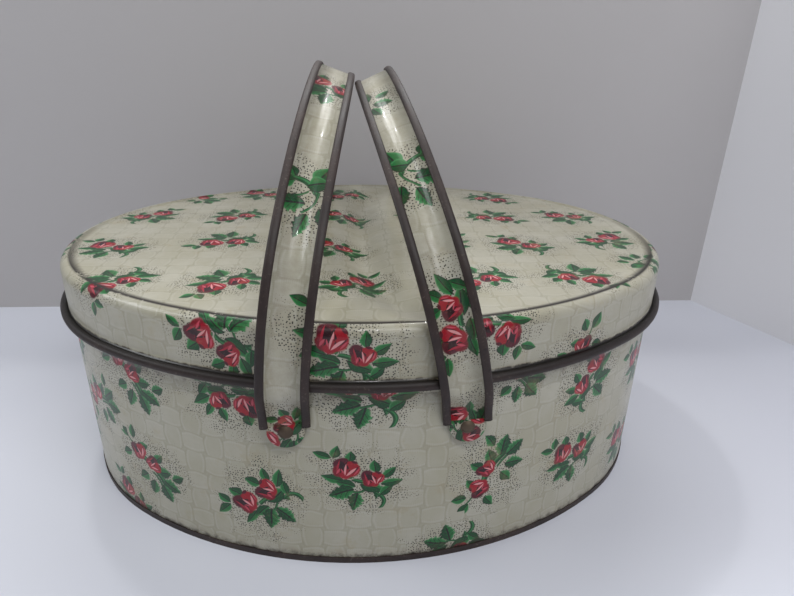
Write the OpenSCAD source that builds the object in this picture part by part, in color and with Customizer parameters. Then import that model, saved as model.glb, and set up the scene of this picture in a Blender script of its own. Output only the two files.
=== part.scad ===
// Oval tinplate box with a slip-over lid and two swing handles that lean together over the lid.
// Millimetres, +Z up. X runs along the oval, -Y is the front. The origin is on the surface that
// the box stands on, under the middle of the oval.

/* [Body] */
// Length of the body over the outside of its wall
body_len = 290; // [270:1:310]
// Depth of the body, front to back, over the outside of its wall
body_depth = 228; // [216:1:240]
// Height of the wall's rolled top edge above the table
wall_top = 95; // [94:0.5:95.5]
// Thickness of the tinplate
sheet_t = 0.4; // [0.3:0.05:0.5]
// Diameter of the safety roll along the wall's top edge
rim_roll_d = 3; // [2:0.1:3.5]
// Radius of the ridge round the wall that the lid comes down on
stop_r = 1.5; // [1.2:0.1:1.8]
// Width of the flat lock seam down the inside of the back
side_seam_w = 8; // [5:0.5:12]

/* [Bottom] */
// Height of the seam that joins the bottom to the wall
seam_h = 2.8; // [2:0.1:4]
// Height of the bottom panel above the table
bottom_rise = 2; // [1:0.1:2.5]

/* [Lid] */
// Height of the lid's rim above the table
lid_top = 108.2; // [107:0.1:112]
// Gap all round between the lid's skirt and the wall
lid_clear = 0.6; // [0.3:0.05:0.7]
// Radius of the lid's rounded shoulder
shoulder_r = 4.2; // [3:0.1:6]
// Depth of the step down from the shoulder to the flat panel
panel_step = 0.6; // [0.3:0.1:1]
// Width of that step
panel_step_w = 0.8; // [0.5:0.1:1.5]
// Diameter of the rolled bead round the lid's lower edge
bead_d = 3.8; // [3.4:0.1:4.6]
// Height of the middle of that bead above the table
bead_z = 85.5; // [84:0.1:87]
// Gap between the lid's bead and the ridge under it
seat_gap = 0.3; // [0.2:0.05:0.5]
// Opening left along each rolled edge
roll_slit = 0.5; // [0.3:0.1:1]

/* [Handles] */
// Distance of each pivot from the middle of the box
pivot_x = 33.8; // [32:0.2:36]
// Height of the pivots above the table
pivot_z = 65.5; // [63:0.5:66]
// Width of a handle over its hems
strap_w = 18.7; // [16:0.1:20]
// Thickness of a handle's strap
strap_t = 0.6; // [0.4:0.05:0.8]
// Width of the flattened hem rolled along each edge of a strap
hem_w = 3.2; // [2.6:0.1:3.6]
// Thickness of that hem
hem_t = 1.7; // [1.4:0.1:2.2]
// Height of a handle's arch above its pivots
arch_rise = 119; // [116:1:130]
// Height above the pivots up to which the two legs run straight
leg_straight = 34; // [32:1:36]
// Radius of the arch's two corners
arch_corner_r = 58; // [50:1:66]
// How steeply the strap leans at the very top, in degrees
crown_lean = 22; // [12:0.5:25]
// How late the leg bends inwards on its way up (1 is a straight slope)
lean_growth = 1.58; // [1.5:0.02:2.2]
// How far both handles tip towards the left end, in degrees
tip_left = 3.1; // [0:0.1:3.2]
// Gap between the two handles where they lean together
handle_gap = 0.3; // [0.2:0.05:0.6]
// Gap between a handle and the box it swings past
strap_clear = 0.3; // [0.25:0.05:0.5]

/* [Rivets] */
// Radius of the rounded tab at each end of a strap
tab_r = 7; // [6:0.25:7.5]
// Radius of a rivet's shank
rivet_r = 2; // [1.5:0.1:2.4]
// Radius of a rivet's head
rivet_head_r = 2.8; // [2.6:0.1:3.4]
// Height of a rivet's domed head
rivet_head_h = 1.5; // [1:0.1:2]
// Radial running clearance between a rivet and the strap's hole
pivot_fit = 0.06; // [0.03:0.01:0.1]
// Radial clearance between a rivet and the holes in the wall and the washer
rivet_fit = 0.02; // [0.01:0.01:0.05]
// Gap on each side of a strap's tab
pivot_gap = 0.15; // [0.1:0.05:0.25]
// Radius of the flat boss pressed out of the wall under each tab
boss_r = 5; // [4.6:0.1:5.5]
// Thickness of the washer inside each boss
washer_t = 0.8; // [0.5:0.1:1.2]
// Gap between the washer's rim and the boss
washer_clear = 0.4; // [0.2:0.1:0.6]
// Radius of a rivet's inner, clenched head
clench_r = 3; // [2.6:0.1:3.4]
// Thickness of the clenched head
clench_t = 0.9; // [0.6:0.1:1.2]

/* [Hidden] */
$fn = 96;

CREAM = [0.76, 0.74, 0.64];
BROWN = [0.14, 0.10, 0.09];
TIN = [0.62, 0.61, 0.58];
BRONZE = [0.30, 0.24, 0.18];
FRONT = -1;
REAR = 1;
LEFT = -1;
RIGHT = 1;

// The oval is four arcs, two round ends and two flatter sides. The line from a side's centre
// through an end's centre, along which the two arcs meet, rises 4 for every 3 across.
half_len = body_len / 2;
half_depth = body_depth / 2;
oval_unit = (half_len - half_depth) / 2;
end_centre = 3 * oval_unit;
side_centre = 4 * oval_unit;
end_radius = half_len - end_centre;
side_radius = half_depth + side_centre;

// How far from the middle the wall's outside is, at a distance x along the box.
function wall_y(x) = sqrt(side_radius * side_radius - x * x) - side_centre;

// Heights and offsets from the wall's outside that several pieces share.
bead_r = bead_d / 2;
bead_offset = lid_clear + bead_r;
stop_z = bead_z - sqrt(pow(bead_r + stop_r + seat_gap, 2) - bead_offset * bead_offset);
skirt_out = lid_clear + sheet_t;
shoulder_z = lid_top - shoulder_r;
shoulder_offset = skirt_out - shoulder_r;
panel_offset = shoulder_offset - panel_step_w;
panel_top = lid_top - panel_step;

// The strap's inner face clears the wall at the tabs and the lid's bead higher up, where the leg
// has come this much nearer to the middle.
bead_lean = 4.5;
strap_in_low = wall_y(pivot_x - strap_w / 2) + strap_clear;
strap_in_high = wall_y(pivot_x - strap_w / 2 - bead_lean) + lid_clear + bead_d + strap_clear;
boss_y = strap_in_low - pivot_gap;
hem_a = hem_w / 2;
hem_b = hem_t / 2;
hem_inset = strap_w / 2 - hem_a;

// The strap runs flat past the tab, then steps out to clear the bead by the time it gets there.
hem_start = 2.2;
tab_lap = 2.8;
flat_end = 3.4;
step_start = 4.6;
step_end = bead_z - pivot_z - bead_r + 1.7;

// Arch over the lid, as half of a second four-arc oval.
arch_half = strap_in_high;
arch_h = arch_rise - leg_straight;
crown_radius = (arch_half * arch_half - 2 * arch_half * arch_corner_r + arch_h * arch_h)
    / (2 * (arch_h - arch_corner_r));
crown_drop = crown_radius - arch_h;
corner_angle = atan2(crown_drop, arch_half - arch_corner_r);
twist_growth = 2.5;
crown_inset = pivot_x - hem_inset * cos(crown_lean) - hem_a - handle_gap / 2;

CLEAR_CUT = 1;
CUT_HIGH = 150;
WEDGE = 100;
STEP_RINGS = 12;
CORNER_RINGS = 11;
CROWN_RINGS = 8;
HEM_POINTS = 8;

// The two wedges of the plan, each from the centre of its own arc.
module end_wedge() {
    translate([end_centre, 0])
        polygon([[0, 0], [3 * WEDGE, -4 * WEDGE], [3 * WEDGE, 4 * WEDGE]]);
}

module side_wedge() {
    translate([0, -side_centre])
        polygon([[0, 0], [3 * WEDGE, 4 * WEDGE], [-3 * WEDGE, 4 * WEDGE]]);
}

// Sweeps a section all the way round the oval. The section's x is the distance outside the wall.
module around_oval() {
    for (turn = [0, 180]) rotate(turn) {
        intersection() {
            translate([end_centre, 0, 0]) rotate_extrude() translate([end_radius, 0]) children();
            translate([0, 0, -CLEAR_CUT]) linear_extrude(CUT_HIGH) end_wedge();
        }
        intersection() {
            translate([0, -side_centre, 0]) rotate_extrude() translate([side_radius, 0]) children();
            translate([0, 0, -CLEAR_CUT]) linear_extrude(CUT_HIGH) side_wedge();
        }
    }
}

// The plan of the oval, with its edge a given distance outside the wall.
module oval_plan(edge) {
    for (turn = [0, 180]) rotate(turn) {
        intersection() {
            translate([end_centre, 0]) circle(r = end_radius + edge);
            end_wedge();
        }
        intersection() {
            translate([0, -side_centre]) circle(r = side_radius + edge);
            side_wedge();
        }
    }
}

module oval_plate(edge, low, high) {
    translate([0, 0, low]) linear_extrude(high - low) oval_plan(edge);
}

module oval_ring(inner, outer, low, high) {
    translate([0, 0, low]) linear_extrude(high - low) difference() {
        oval_plan(outer);
        oval_plan(inner);
    }
}

// A box-shaped section between two offsets and two heights.
module band(inner, outer, low, high) {
    translate([inner, low]) square([outer - inner, high - low]);
}

// A rolled edge: a hollow round with a narrow slit that starts at one side of its underside.
module roll(radius, slit_x) {
    difference() {
        circle(r = radius);
        circle(r = radius - sheet_t);
        translate([slit_x, -radius - CLEAR_CUT]) square([roll_slit, radius + CLEAR_CUT]);
    }
}

// ---- Body ----

module wall_section() {
    roll_r = rim_roll_d / 2;
    difference() {
        union() {
            band(-sheet_t, 0, sheet_t, wall_top - roll_r);
            translate([0, stop_z]) circle(r = stop_r);
        }
        translate([0, stop_z]) circle(r = stop_r - sheet_t);
        band(-stop_r - CLEAR_CUT, -sheet_t, stop_z - stop_r, stop_z + stop_r);
    }
    translate([-roll_r, wall_top - roll_r]) roll(roll_r, -roll_r / 2);
}

// Runs a round tool along Y, out from the middle, at one pivot.
module at_pivot(side_x, side_y) {
    translate([side_x * pivot_x, 0, pivot_z])
        rotate([-90 * side_y, 0, 0])
        children();
}

// The flat boss is sheet that was pressed out from the wall, so only what lies outside it is added.
module boss_blank(side_x, side_y) {
    difference() {
        at_pivot(side_x, side_y) cylinder(r = boss_r, h = boss_y);
        translate([0, -side_y * side_centre, 0]) cylinder(r = side_radius - sheet_t, h = wall_top);
    }
}

module boss_hollow(side_x, side_y) {
    at_pivot(side_x, side_y) {
        cylinder(r = boss_r - sheet_t, h = boss_y - sheet_t);
        cylinder(r = rivet_r + rivet_fit, h = boss_y + CLEAR_CUT);
    }
}

// The two edges of the wall are hooked together in a flat seam on the inside of the back.
module side_seam() {
    seam_angle = side_seam_w / side_radius * 180 / PI;
    translate([0, -side_centre, 0])
        rotate(90 - seam_angle / 2)
        rotate_extrude(angle = seam_angle)
        translate([side_radius, 0])
        band(-2 * sheet_t, -sheet_t / 2, seam_h + sheet_t, stop_z - stop_r);
}

module body_wall() {
    color(CREAM) {
        difference() {
            union() {
                around_oval() wall_section();
                for (side_x = [LEFT, RIGHT], side_y = [FRONT, REAR]) boss_blank(side_x, side_y);
            }
            for (side_x = [LEFT, RIGHT], side_y = [FRONT, REAR]) boss_hollow(side_x, side_y);
        }
        side_seam();
    }
}

// The bottom's edge is folded up both sides of the wall, and its panel sits up inside that seam.
module bottom_plate() {
    color(BROWN) difference() {
        oval_plate(sheet_t, 0, seam_h);
        oval_ring(-sheet_t, 0, sheet_t, seam_h + CLEAR_CUT);
        oval_plate(-2 * sheet_t, -CLEAR_CUT, bottom_rise);
        oval_plate(-2 * sheet_t, bottom_rise + sheet_t, seam_h + CLEAR_CUT);
    }
}

// ---- Lid ----

module shoulder_section() {
    translate([shoulder_offset, shoulder_z]) intersection() {
        difference() {
            circle(r = shoulder_r);
            circle(r = shoulder_r - sheet_t);
        }
        square(shoulder_r + CLEAR_CUT);
    }
}

// From the shoulder the sheet steps down to the level of the panel.
module panel_step_section() {
    polygon([
        [shoulder_offset, lid_top],
        [panel_offset, panel_top],
        [panel_offset - sheet_t, panel_top],
        [panel_offset - sheet_t, panel_top - sheet_t],
        [panel_offset, panel_top - sheet_t],
        [shoulder_offset, lid_top - sheet_t],
    ]);
}

module lid() {
    color(CREAM) {
        around_oval() {
            band(lid_clear, skirt_out, bead_z, shoulder_z);
            shoulder_section();
            panel_step_section();
            translate([bead_offset, bead_z]) roll(bead_r, bead_r / 4);
        }
        oval_plate(panel_offset, panel_top - sheet_t, panel_top);
    }
}

// ---- Handles ----

function smooth(t) = t * t * (3 - 2 * t);
function clamp01(t) = min(1, max(0, t));

// Half of the strap's course, from the front tab to the crown: [distance out, height].
function leg_point(v) = [
    strap_in_low + (strap_in_high - strap_in_low) * smooth(clamp01((v - step_start) / (step_end - step_start))),
    v,
];
function corner_point(a) = [
    arch_half - arch_corner_r + arch_corner_r * cos(a),
    leg_straight + arch_corner_r * sin(a),
];
function crown_point(a) = [crown_radius * cos(a), leg_straight - crown_drop + crown_radius * sin(a)];

half_course = concat(
    [leg_point(hem_start), leg_point(flat_end)],
    [for (i = [0:STEP_RINGS]) leg_point(step_start + (step_end - step_start) * i / STEP_RINGS)],
    [for (i = [0:CORNER_RINGS - 1]) corner_point(corner_angle * i / CORNER_RINGS)],
    [for (i = [0:CROWN_RINGS]) crown_point(corner_angle + (90 - corner_angle) * i / CROWN_RINGS)]
);
half_count = len(half_course);
ring_count = 2 * half_count - 1;

// The whole course mirrors at the crown, and bends inwards over the lid as it rises.
function inward(v) = crown_inset * pow(v / arch_rise, lean_growth);
function course_point(i) =
    let (front = i < half_count, p = half_course[front ? i : ring_count - 1 - i])
    [inward(p[1]), (front ? -1 : 1) * p[0], p[1]];
function unit(v) = v / norm(v);
function course_way(i) = unit(course_point(min(i + 1, ring_count - 1)) - course_point(max(i - 1, 0)));

// At each ring the strap's width lies level at the tabs and leans with the height.
function across(i) =
    let (
        lean = crown_lean * pow(course_point(i)[2] / arch_rise, twist_growth),
        level = [cos(lean), 0, -sin(lean)],
        way = course_way(i)
    )
    unit(level - way * (level * way));

// Section of strap and hems: [across the strap, out from its inner face]. Each hem is a flattened
// round that starts and ends on the strap.
hem_join = asin((strap_t - hem_b) / hem_b);
strap_section = concat(
    [for (i = [0:HEM_POINTS]) let (a = -90 + (270 - hem_join) * i / HEM_POINTS)
        [hem_inset + hem_a * cos(a), hem_b + hem_b * sin(a)]],
    [for (i = [0:HEM_POINTS]) let (a = hem_join + (270 - hem_join) * i / HEM_POINTS)
        [-hem_inset + hem_a * cos(a), hem_b + hem_b * sin(a)]]
);
section_count = len(strap_section);
first_hem = [for (j = [0:HEM_POINTS]) j];
second_hem = [for (j = [HEM_POINTS + 1:section_count - 1]) j];
between_hems = [0, HEM_POINTS, HEM_POINTS + 1, section_count - 1];
function backwards(v) = [for (j = [len(v) - 1:-1:0]) v[j]];

strap_points = [
    for (i = [0:ring_count - 1])
        let (at = course_point(i), side = across(i), out = cross(side, course_way(i)))
        for (p = strap_section) at + side * p[0] + out * p[1]
];
last_ring = (ring_count - 1) * section_count;
strap_faces = concat(
    [for (cap = [first_hem, second_hem, between_hems]) backwards(cap)],
    [for (i = [0:ring_count - 2], j = [0:section_count - 1])
        let (k = (j + 1) % section_count, a = i * section_count, b = a + section_count)
        [a + j, a + k, b + k, b + j]],
    [for (cap = [first_hem, second_hem, between_hems]) [for (j = cap) last_ring + j]]
);

// The flat tab at one end of the strap, with the hole that turns on the rivet.
module tab(side_y) {
    rotate([-90 * side_y, 0, 0]) translate([0, 0, strap_in_low]) linear_extrude(strap_t) difference() {
        union() {
            intersection() {
                circle(r = tab_r);
                translate([-tab_r, side_y > 0 ? -tab_lap : -tab_r]) square([2 * tab_r, tab_r + tab_lap]);
            }
            translate([-tab_r, side_y > 0 ? -tab_lap : 0]) square([2 * tab_r, tab_lap]);
        }
        circle(r = rivet_r + pivot_fit);
    }
}

// One handle about its own pivots, leaning towards +X.
module handle() {
    color(CREAM) {
        polyhedron(points = strap_points, faces = strap_faces);
        tab(FRONT);
        tab(REAR);
    }
}

module left_handle() {
    translate([-pivot_x, 0, pivot_z]) rotate([0, -tip_left, 0]) handle();
}

// The right handle is the same piece turned about.
module right_handle() {
    rotate(180) translate([-pivot_x, 0, pivot_z]) rotate([0, tip_left, 0]) handle();
}

// ---- Rivets and washers ----

// Domed outside, a plain shank through tab, boss and washer, and clenched flat inside.
module rivet(side_x, side_y) {
    head_y = strap_in_low + strap_t + pivot_gap;
    clench_y = boss_y - sheet_t - washer_t - clench_t;
    dome_r = (rivet_head_r * rivet_head_r + rivet_head_h * rivet_head_h) / (2 * rivet_head_h);
    color(BRONZE) at_pivot(side_x, side_y) {
        translate([0, 0, clench_y]) cylinder(r = rivet_r, h = head_y - clench_y);
        translate([0, 0, clench_y]) cylinder(r = clench_r, h = clench_t);
        translate([0, 0, head_y]) intersection() {
            cylinder(r = rivet_head_r, h = rivet_head_h);
            translate([0, 0, rivet_head_h - dome_r]) sphere(r = dome_r);
        }
    }
}

module washer(side_x, side_y) {
    color(TIN) at_pivot(side_x, side_y) translate([0, 0, boss_y - sheet_t - washer_t]) difference() {
        cylinder(r = boss_r - sheet_t - washer_clear, h = washer_t);
        translate([0, 0, -CLEAR_CUT]) cylinder(r = rivet_r + rivet_fit, h = washer_t + 2 * CLEAR_CUT);
    }
}

module front_left_rivet() { rivet(LEFT, FRONT); }
module front_right_rivet() { rivet(RIGHT, FRONT); }
module rear_left_rivet() { rivet(LEFT, REAR); }
module rear_right_rivet() { rivet(RIGHT, REAR); }
module front_left_washer() { washer(LEFT, FRONT); }
module front_right_washer() { washer(RIGHT, FRONT); }
module rear_left_washer() { washer(LEFT, REAR); }
module rear_right_washer() { washer(RIGHT, REAR); }

body_wall();
bottom_plate();
lid();
left_handle();
right_handle();
front_left_rivet();
front_right_rivet();
rear_left_rivet();
rear_right_rivet();
front_left_washer();
front_right_washer();
rear_left_washer();
rear_right_washer();
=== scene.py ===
"""Oval lithographed sewing tin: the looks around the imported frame.

Lengths are mm, but the lights, the stage, the bumps and what reads object coordinates are in metres.
"""
import math

import bpy
import numpy as np
from mathutils import Matrix, Vector


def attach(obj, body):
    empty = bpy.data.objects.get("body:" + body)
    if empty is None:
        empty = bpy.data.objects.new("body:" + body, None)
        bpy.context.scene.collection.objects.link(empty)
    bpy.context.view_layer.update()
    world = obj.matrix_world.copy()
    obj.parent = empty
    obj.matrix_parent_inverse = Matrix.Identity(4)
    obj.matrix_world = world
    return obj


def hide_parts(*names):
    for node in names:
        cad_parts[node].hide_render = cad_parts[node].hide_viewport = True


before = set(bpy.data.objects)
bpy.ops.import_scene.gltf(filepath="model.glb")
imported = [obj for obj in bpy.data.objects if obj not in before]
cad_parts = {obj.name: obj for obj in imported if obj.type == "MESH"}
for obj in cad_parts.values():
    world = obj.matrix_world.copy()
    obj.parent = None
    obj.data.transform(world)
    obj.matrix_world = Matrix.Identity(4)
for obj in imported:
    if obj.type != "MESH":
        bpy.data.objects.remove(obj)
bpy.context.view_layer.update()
MM = 0.001


# ---- Camera and light ----

IMAGE_WIDTH, FOCAL_PIXELS, SENSOR_WIDTH = 794, 577.01, 36
CAMERA_PLACE = (-8.308, -290.40, 194.88)
CAMERA_YAW, CAMERA_PITCH, CAMERA_ROLL = 0.0820, 0.40583, 0.01863
SKY, SKY_STRENGTH = (0.80, 0.83, 0.88, 1), 0.245


def look(yaw, pitch, roll):
    """The axes of a camera facing +Y, turned right by yaw and down by pitch, its right side raised by roll."""
    ahead = np.array([math.sin(yaw) * math.cos(pitch), math.cos(yaw) * math.cos(pitch), -math.sin(pitch)])
    right = np.array([math.cos(yaw), -math.sin(yaw), 0.0])
    up = np.cross(right, ahead)
    across = right * math.cos(roll) + up * math.sin(roll)
    over = -right * math.sin(roll) + up * math.cos(roll)
    return Matrix([list(row) for row in np.array([across, over, -ahead]).T])


def link_new(name, data):
    ob = bpy.data.objects.new(name, data)
    bpy.context.scene.collection.objects.link(ob)
    return ob


camera_data = bpy.data.cameras.new("camera")
camera_data.sensor_width = SENSOR_WIDTH
camera_data.sensor_fit = "HORIZONTAL"
camera_data.lens = FOCAL_PIXELS / IMAGE_WIDTH * SENSOR_WIDTH
camera_data.clip_start = 0.01
camera = link_new("camera", camera_data)
turned = look(CAMERA_YAW, CAMERA_PITCH, CAMERA_ROLL).to_4x4()
camera.matrix_world = Matrix.Translation(Vector(CAMERA_PLACE) * MM) @ turned
bpy.context.scene.camera = camera


def area_light(name, place, target, size, size_y, power, colour=(1, 1, 1)):
    data = bpy.data.lights.new(name, "AREA")
    data.shape, data.size, data.size_y = "RECTANGLE", size, size_y
    data.energy, data.color = power, colour
    ob = link_new(name, data)
    ob.location = place
    ob.rotation_euler = (Vector(target) - Vector(place)).to_track_quat("-Z", "Y").to_euler()


area_light("light_key", (-0.95, -0.05, 0.82), (0, 0, 0.06), 0.5, 0.4, 4.2, (0.95, 0.98, 1.0))
area_light("light_fill", (0.50, -0.68, 1.08), (0.05, 0, 0.06), 0.6, 0.6, 5.4, (0.98, 0.98, 1.0))
area_light("light_top", (0.0, 0.60, 1.15), (0, 0, 0.05), 0.9, 0.5, 6.4)
area_light("light_lamp_right", (0.17, 0.60, 0.93), (0, -0.05, 0.17), 0.06, 0.05, 1.2)
area_light("light_shine", (0.0, -0.62, 1.15), (0, -0.1, 0.1), 0.14, 0.05, 2.6)
area_light("light_lamp_left", (-0.25, 0.33, 1.05), (0, -0.06, 0.16), 0.06, 0.05, 1.2)

world = bpy.data.worlds.new("studio")
bpy.context.scene.world = world
world.use_nodes = True
world.node_tree.nodes["Background"].inputs[0].default_value = SKY
world.node_tree.nodes["Background"].inputs[1].default_value = SKY_STRENGTH
bpy.context.scene.view_settings.view_transform = "Standard"


# ---- Node helper ----

class Net:
    """Makes nodes in the order in which they are worked out."""

    def __init__(self, tree):
        self.tree, self.nodes = tree, tree.nodes

    def add(self, kind, values=(), **props):
        node = self.nodes.new(kind)
        for key, value in props.items():
            setattr(node, key, value)
        for key, value in (values.items() if isinstance(values, dict) else enumerate(values)):
            self.put(node.inputs[key], value)
        return node

    def put(self, socket, value):
        if isinstance(value, bpy.types.NodeSocket):
            self.tree.links.new(value, socket)
        elif isinstance(value, tuple) and len(value) == 3 and socket.type == "RGBA":
            socket.default_value = (*value, 1)
        elif value is not None:
            socket.default_value = value

    def math(self, op, a, b=None, c=None, clamp=False):
        return self.add("ShaderNodeMath", [a, b, c], operation=op, use_clamp=clamp).outputs[0]

    def plus(self, a, b):
        return self.math("ADD", a, b)

    def minus(self, a, b):
        return self.math("SUBTRACT", a, b)

    def times(self, a, b, clamp=False):
        return self.math("MULTIPLY", a, b, clamp=clamp)

    def line(self, value, slope, start):
        """The value times slope, plus start."""
        return self.math("MULTIPLY_ADD", value, slope, start)

    def size(self, value):
        return self.math("ABSOLUTE", value)

    def ramp(self, value, low, high):
        """0 at low, 1 at high."""
        return self.math("MULTIPLY_ADD", value, 1 / (high - low), -low / (high - low), clamp=True)

    def vec(self, op, a, b=None, c=None, out=0):
        return self.add("ShaderNodeVectorMath", [a, b, c], operation=op).outputs[out]

    def split(self, vector):
        return self.add("ShaderNodeSeparateXYZ", [vector]).outputs

    def mix(self, amount, a, b):
        """Colour a, and b as far as the amount says."""
        node = self.add("ShaderNodeMix", data_type="RGBA")
        self.put(node.inputs[0], amount)
        self.put(node.inputs[6], a)
        self.put(node.inputs[7], b)
        return node.outputs[2]

    def place(self, vector, x, y, turn, length, width):
        """The vector in a space that starts at (x, y), turned by degrees, in units of length and width."""
        values = {0: vector, 1: (x, y, 0), 2: (0, 0, math.radians(turn)), 3: (length, width, 1)}
        return self.add("ShaderNodeMapping", values, vector_type="TEXTURE").outputs[0]

    def noise(self, vector, scale, detail, rough, dims="3D", out=0):
        values = {"Vector": vector, "Scale": scale, "Detail": detail, "Roughness": rough}
        return self.add("ShaderNodeTexNoise", values, noise_dimensions=dims).outputs[out]

    def attribute(self, name):
        return self.add("ShaderNodeAttribute", attribute_name=name).outputs["Vector"]

    def object_place(self):
        return self.add("ShaderNodeTexCoord").outputs["Object"]

    def bump(self, height, strength, distance):
        values = {"Height": height, "Strength": strength, "Distance": distance}
        return self.add("ShaderNodeBump", values).outputs[0]

    def surface(self, values):
        """Ends a material with one Principled surface."""
        shader = self.add("ShaderNodeBsdfPrincipled", values)
        self.add("ShaderNodeOutputMaterial", [shader.outputs[0]])


def srgb(r, g, b):
    return tuple((c / 255 / 12.92) if c <= 10 else ((c / 255 + 0.055) / 1.055) ** 2.4 for c in (r, g, b))


def new_material(name):
    mat = bpy.data.materials.new(name)
    mat.use_nodes = True
    mat.node_tree.nodes.clear()
    return mat, Net(mat.node_tree)


# ---- The print: leaves, stems and roses, each drawn in its own unit space ----

LEAF_DARK, LEAF_MID, LEAF_LIGHT = srgb(14, 70, 36), srgb(30, 106, 52), srgb(62, 132, 78)
INK, STEM_GREEN = srgb(28, 26, 26), srgb(48, 118, 66)
RED, DEEP, PINK = srgb(150, 10, 30), srgb(78, 8, 28), srgb(186, 70, 86)
BLUSH, SHADE = srgb(216, 146, 148), srgb(40, 6, 16)
LEAF_TEETH = 5.0

# x, y, radius and colour of each round petal.
PETALS = [
    (-0.34, 0.24, 0.64, DEEP), (-0.34, -0.30, 0.56, srgb(118, 8, 30)), (0.36, 0.02, 0.66, RED),
    (0.08, -0.46, 0.46, srgb(150, 14, 34)),
]
PETAL_EDGE, STROKE_EDGE = 9.0, 3.5
# x, y, turn in degrees, length, width and colour of each pointed stroke over the petals.
STROKES = [
    (-0.66, 0.54, -50, 1.10, 0.26, SHADE), (-0.60, 0.62, -84, 1.25, 0.07, srgb(158, 30, 50)),
    (0.02, 0.64, -104, 1.25, 0.09, SHADE), (0.24, 0.62, -6, 0.55, 0.12, DEEP),
    (0.02, 0.30, -60, 0.80, 0.06, SHADE), (0.86, 0.34, -118, 0.85, 0.06, DEEP),
    (0.16, -0.62, 54, 0.95, 0.085, BLUSH), (0.10, -0.62, 98, 0.98, 0.07, BLUSH),
    (0.12, -0.55, 74, 0.70, 0.05, srgb(140, 12, 32)), (0.62, -0.46, 66, 0.70, 0.05, PINK),
    (0.02, -0.48, 128, 0.50, 0.05, PINK), (-0.50, -0.66, 74, 0.60, 0.08, PINK),
]


def group(name, *numbers):
    """A group that reads a place, the colour behind and any numbers, and gives a colour."""
    tree = bpy.data.node_groups.new(name, "ShaderNodeTree")
    inputs = [("Place", "NodeSocketVector"), ("Back", "NodeSocketColor")]
    for key, kind in inputs + [(number, "NodeSocketFloat") for number in numbers]:
        tree.interface.new_socket(key, in_out="INPUT", socket_type=kind)
    tree.interface.new_socket("Colour", in_out="OUTPUT", socket_type="NodeSocketColor")
    net = Net(tree)
    return tree, net, net.nodes.new("NodeGroupInput").outputs, net.nodes.new("NodeGroupOutput").inputs


def leaf_group():
    """A leaf from (0, 0) to (1, 0), dark on one side, with its dark edge and its veins inked."""
    tree, net, got, out = group("leaf", "Teeth")
    place, behind, teeth = got[0], got[1], got[2]
    x, y, _ = net.split(place)
    side = net.size(y)
    swell = net.times(net.times(x, net.minus(1.0, x)), net.math("MAXIMUM", net.line(x, -2.6, 5.6), 1.0))
    saw = net.math("FRACT", net.line(x, LEAF_TEETH, net.times(side, -0.6)))
    edge = net.times(swell, net.minus(1.0, net.times(saw, teeth)))
    depth = net.minus(edge, side)
    inside = net.times(depth, 7.0, clamp=True)
    tone = net.mix(net.ramp(y, -0.30, 0.20), LEAF_DARK, LEAF_MID)
    tone = net.mix(net.times(net.ramp(depth, 0.40, 0.18), net.ramp(y, 0.0, 0.4)), tone, LEAF_LIGHT)
    tone = net.mix(net.times(net.ramp(depth, 0.24, 0.12), net.ramp(y, 0.10, -0.25)), tone, INK)
    vein = net.math("FRACT", net.line(x, LEAF_TEETH, net.times(side, -1.6)))
    vein = net.times(net.ramp(vein, 0.20, 0.08), net.times(net.ramp(depth, 0.10, 0.30), teeth))
    tone = net.mix(net.times(vein, 3.2, clamp=True), tone, INK)
    tone = net.mix(net.times(net.ramp(side, 0.13, 0.06), net.ramp(x, 0.88, 0.70)), tone, INK)
    net.put(out[0], net.mix(inside, behind, tone))
    return tree


def stem_group():
    """A thin stem that bows from (0, 0) to (1, 0), with a lighter middle."""
    tree, net, got, out = group("stem")
    x, y, _ = net.split(got[0])
    off = net.minus(y, net.times(x, net.minus(1.0, x)))
    span = net.ramp(net.size(net.minus(x, 0.5)), 0.52, 0.48)
    dark = net.times(net.ramp(net.size(off), 0.125, 0.095), span)
    light = net.times(net.ramp(net.size(net.plus(off, -0.03)), 0.05, 0.02), span)
    net.put(out[0], net.mix(light, net.mix(dark, got[1], LEAF_DARK), STEM_GREEN))
    return tree


def rose_group():
    """A rose about 1 in radius: round petals, and pointed strokes for their shades and edges."""
    tree, net, got, out = group("rose")
    tone = got[1]
    for x, y, radius, colour in PETALS:
        away = net.vec("DISTANCE", got[0], (x, y, 0), out=1)
        inside = net.math("MULTIPLY_ADD", away, -PETAL_EDGE, radius * PETAL_EDGE, clamp=True)
        tone = net.mix(inside, tone, colour)
    for x, y, turn, length, width, colour in STROKES:
        along, off, _ = net.split(net.place(got[0], x, y, turn, length, width))
        body = net.times(along, net.line(along, -4.6, 4.6))
        tone = net.mix(net.times(net.minus(body, net.size(off)), STROKE_EDGE, clamp=True), tone, colour)
    net.put(out[0], tone)
    return tree


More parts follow.
